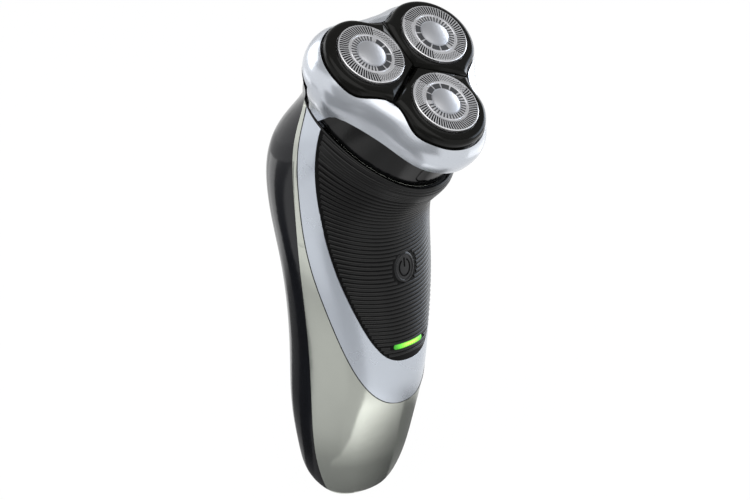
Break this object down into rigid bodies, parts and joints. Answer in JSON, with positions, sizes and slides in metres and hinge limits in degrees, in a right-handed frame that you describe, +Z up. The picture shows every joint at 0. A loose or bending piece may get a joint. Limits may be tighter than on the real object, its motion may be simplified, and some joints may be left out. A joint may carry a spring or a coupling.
{
  "type": "rotary electric shaver",
  "caption": "Cordless rotary shaver: leaning triangular shaving unit that swings open, round floating heads, contoured handle with ribbed grip, and a pop-up trimmer at the back.",
  "frame": {"origin": "centre of the flat base, at the mouth of the charging socket", "axes": "+Z up the handle towards the shaving unit, -Y to the front with the button and the grip, +X to the shaver's left side as its front is faced from the right; the shaving unit leans forward by 36 degrees"},
  "size_m": [0.0602, 0.0725, 0.1653],
  "materials": {
    "gloss_black": "gloss",
    "champagne": "metallic lacquer",
    "satin_silver": "satin silver lacquer",
    "grip_rubber": "matte",
    "neck_black": "gloss",
    "head_black": "gloss",
    "button_grey": "satin",
    "lens_green": "lit",
    "led_white": "gloss",
    "board_green": "solder mask",
    "black_moulding": "moulded",
    "chassis_grey": "moulded",
    "gear_white": "moulded acetal",
    "battery_sleeve": "shrink sleeve",
    "nickel": "nickel plate",
    "motor_can": "zinc plate",
    "screw_steel": "plain",
    "seal_rubber": "matte",
    "guard_steel": "polished",
    "cap_steel": "bright",
    "cutter_steel": "ground",
    "trimmer_steel": "ground"
  },
  "bodies": {
    "handle": {"rear_shell": "gloss_black", "front_shell": "champagne", "trim_band": "satin_silver", "grip_panel": "grip_rubber", "neck_collar": "neck_black", "status_lens": "lens_green", "status_led": "led_white", "power_switch": "black_moulding", "circuit_board": "board_green", "board_screws": "screw_steel", "chassis": "chassis_grey", "battery_cell": "battery_sleeve", "battery_tabs": "nickel", "charging_socket": "black_moulding", "socket_pins": "nickel", "drive_plate": "black_moulding", "neck_seal": "seal_rubber", "hinge_pin": "screw_steel", "gear_plate": "chassis_grey", "motor": "motor_can", "motor_screws": "screw_steel"},
    "power_button": {"power_button": "button_grey"},
    "release_button": {"release_button": "neck_black"},
    "motor_output": {"motor_shaft": "screw_steel", "motor_pinion": "gear_white"},
    "shaving_unit": {"hair_chamber": "satin_silver", "pivot_frame": "black_moulding", "rocker_pins": "screw_steel", "frame_screws": "screw_steel"},
    "drive_front": {"drive_gear_front": "gear_white", "drive_spindle_front": "gear_white"},
    "head_front": {"head_frame_front": "head_black", "cutter_retainer_front": "black_moulding"},
    "guard_front": {"shaving_guard_front": "guard_steel", "guard_cap_front": "cap_steel"},
    "cutter_front": {"rotary_cutter_front": "cutter_steel"},
    "drive_right": {"drive_gear_right": "gear_white", "drive_spindle_right": "gear_white"},
    "head_right": {"head_frame_right": "head_black", "cutter_retainer_right": "black_moulding"},
    "guard_right": {"shaving_guard_right": "guard_steel", "guard_cap_right": "cap_steel"},
    "cutter_right": {"rotary_cutter_right": "cutter_steel"},
    "drive_left": {"drive_gear_left": "gear_white", "drive_spindle_left": "gear_white"},
    "head_left": {"head_frame_left": "head_black", "cutter_retainer_left": "black_moulding"},
    "guard_left": {"shaving_guard_left": "guard_steel", "guard_cap_left": "cap_steel"},
    "cutter_left": {"rotary_cutter_left": "cutter_steel"},
    "trimmer": {"trimmer_cover": "gloss_black", "trimmer_comb": "trimmer_steel"},
    "trimmer_blade": {"trimmer_blade": "trimmer_steel"},
    "trimmer_slide": {"trimmer_slide": "black_moulding"}
  },
  "joints": [
    {"name": "button_press", "type": "slide", "parent": "handle", "child": "power_button", "axis": [0, 1, 0], "range_m": [0, 0.0006], "stiffness_N_per_m": 60, "springref_m": -0.001},
    {"name": "release_press", "type": "slide", "parent": "handle", "child": "release_button", "axis": [0, 0.809, 0.5878], "range_m": [0, 0.001], "stiffness_N_per_m": 60, "springref_m": -0.001},
    {"name": "motor_spin", "type": "hinge", "parent": "handle", "child": "motor_output", "pos_m": [0, -0.00516, 0.12346], "axis": [0, -0.5878, 0.809], "continuous": true},
    {"name": "unit_open", "type": "hinge", "parent": "handle", "child": "shaving_unit", "pos_m": [0, -0.00087, 0.156], "axis": [-1, 0, 0], "range_deg": [0, 85]},
    {"name": "front_drive_spin", "type": "hinge", "parent": "handle", "child": "drive_front", "pos_m": [0, -0.01731, 0.11463], "axis": [0, -0.5878, 0.809], "continuous": true},
    {"name": "front_head_rock", "type": "hinge", "parent": "shaving_unit", "child": "head_front", "pos_m": [0, -0.02468, 0.14624], "axis": [1, 0, 0], "range_deg": [0, 4.5], "stiffness_Nm_per_rad": 0.05, "springref_deg": -5.73},
    {"name": "front_guard_float", "type": "slide", "parent": "head_front", "child": "guard_front", "axis": [0, 0.5878, -0.809], "range_m": [0, 0.001], "stiffness_N_per_m": 100, "springref_m": -0.003},
    {"name": "front_cutter_spin", "type": "hinge", "parent": "guard_front", "child": "cutter_front", "pos_m": [0, -0.03788, 0.14295], "axis": [0, -0.5878, 0.809], "continuous": true},
    {"name": "right_drive_spin", "type": "hinge", "parent": "handle", "child": "drive_right", "pos_m": [0.013, 0.00091, 0.12787], "axis": [0, -0.5878, 0.809], "continuous": true},
    {"name": "right_head_rock", "type": "hinge", "parent": "shaving_unit", "child": "head_right", "pos_m": [0.00208, -0.02177, 0.14835], "axis": [-0.5, 0.7006, 0.509], "range_deg": [0, 4.5], "stiffness_Nm_per_rad": 0.05, "springref_deg": -5.73},
    {"name": "right_guard_float", "type": "slide", "parent": "head_right", "child": "guard_right", "axis": [0, 0.5878, -0.809], "range_m": [0, 0.001], "stiffness_N_per_m": 100, "springref_m": -0.003},
    {"name": "right_cutter_spin", "type": "hinge", "parent": "guard_right", "child": "cutter_right", "pos_m": [0.013, -0.01966, 0.15618], "axis": [0, -0.5878, 0.809], "continuous": true},
    {"name": "left_drive_spin", "type": "hinge", "parent": "handle", "child": "drive_left", "pos_m": [-0.013, 0.00091, 0.12787], "axis": [0, -0.5878, 0.809], "continuous": true},
    {"name": "left_head_rock", "type": "hinge", "parent": "shaving_unit", "child": "head_left", "pos_m": [-0.00208, -0.02177, 0.14835], "axis": [-0.5, -0.7006, -0.509], "range_deg": [0, 4.5], "stiffness_Nm_per_rad": 0.05, "springref_deg": -5.73},
    {"name": "left_guard_float", "type": "slide", "parent": "head_left", "child": "guard_left", "axis": [0, 0.5878, -0.809], "range_m": [0, 0.001], "stiffness_N_per_m": 100, "springref_m": -0.003},
    {"name": "left_cutter_spin", "type": "hinge", "parent": "guard_left", "child": "cutter_left", "pos_m": [-0.013, -0.01966, 0.15618], "axis": [0, -0.5878, 0.809], "continuous": true},
    {"name": "trimmer_open", "type": "hinge", "parent": "handle", "child": "trimmer", "pos_m": [0, 0.01847, 0.12508], "axis": [-1, 0, 0], "range_deg": [0, 60]},
    {"name": "trimmer_stroke", "type": "slide", "parent": "trimmer", "child": "trimmer_blade", "axis": [1, 0, 0], "range_m": [-0.0007, 0.0007]},
    {"name": "trimmer_release", "type": "slide", "parent": "handle", "child": "trimmer_slide", "axis": [0, 0.091, 0.9959], "range_m": [0, 0.003], "stiffness_N_per_m": 60, "springref_m": -0.001}
  ],
  "couplings": [
    {"joint": "front_drive_spin", "follows": "motor_spin", "ratio": -0.93548},
    {"joint": "front_cutter_spin", "follows": "motor_spin", "ratio": -0.93548},
    {"joint": "right_drive_spin", "follows": "motor_spin", "ratio": -0.93548},
    {"joint": "right_cutter_spin", "follows": "motor_spin", "ratio": -0.93548},
    {"joint": "left_drive_spin", "follows": "motor_spin", "ratio": -0.93548},
    {"joint": "left_cutter_spin", "follows": "motor_spin", "ratio": -0.93548}
  ]
}
